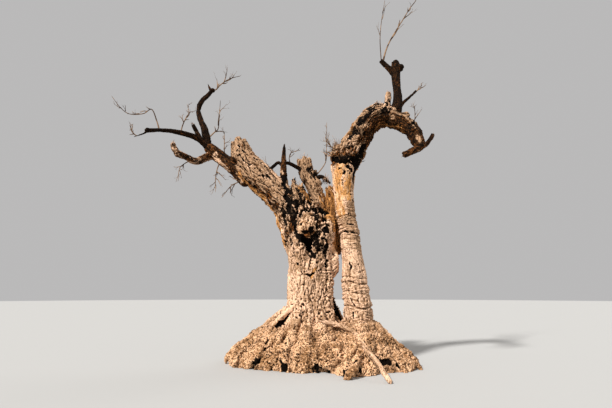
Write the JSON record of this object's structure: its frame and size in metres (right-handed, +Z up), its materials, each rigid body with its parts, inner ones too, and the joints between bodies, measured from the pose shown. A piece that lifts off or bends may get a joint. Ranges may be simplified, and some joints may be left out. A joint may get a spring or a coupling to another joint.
{
  "type": "dead tree",
  "caption": "Dead weathered tree: a hollow trunk ending in a long broken limb, a second stem that arches over and droops, bare twigs, and a wide heap of roots cut flat at the ground.",
  "frame": {"origin": "on the flat cut at ground level, near the middle of the heap of roots and between the two stems", "axes": "+Z up, +X to the right and -Y to the front as the tree is seen in its picture"},
  "size_m": [7.56, 3.4315, 9.75],
  "materials": {
    "heap": "weathered, crumbling root wood and bark, dry and matt",
    "bark": "sun-bleached tan bark, pitted and cracked, matt",
    "bare": "bare golden wood with a fine grain, dry",
    "dark": "dark brown weathered bark, matt",
    "twig": "grey-brown bare twigs, dry"
  },
  "bodies": {
    "root": {"trunk": "heap", "second_stem": "bark", "arch_bough": "bark", "droop_bough_upper": "bark", "droop_bough_lower": "bark", "droop_prong_inner": "bark", "droop_prong_outer": "bark", "arch_side_stub": "bark", "arch_top_stub": "bark", "crown_bough": "dark", "crown_arm": "dark", "side_shoot": "dark", "left_limb": "bark", "rim_wall": "bark", "rim_spike": "bark", "rim_branch": "bark", "middle_stub": "bark", "stub_side_branch": "dark", "cross_branch": "bark", "dead_strip": "bare", "left_branch": "bark", "upright_bough_lower": "dark", "upright_bough_upper": "dark", "upright_prong": "dark", "across_bough": "dark", "across_tip": "dark", "fork_stub": "dark", "low_bough": "bark", "low_bough_end": "bark", "back_stub": "bark", "long_root": "bark", "twigs_crown_long": "twig", "twigs_crown_pale": "twig", "twigs_side_shoot": "twig", "twigs_upright_tip": "twig", "twigs_upright_side": "twig", "twigs_across_middle": "twig", "twigs_across_far": "twig", "twigs_across_tip": "twig", "twigs_low_bough": "twig", "twigs_left_branch": "twig", "twigs_limb_under": "twig", "twigs_limb_top": "twig", "twigs_rim": "twig", "twigs_middle_stub": "twig", "twigs_collar": "twig", "twigs_droop": "twig", "twigs_arch": "twig", "twigs_back_stub": "twig", "twigs_back_limb": "twig"}
  },
  "joints": []
}
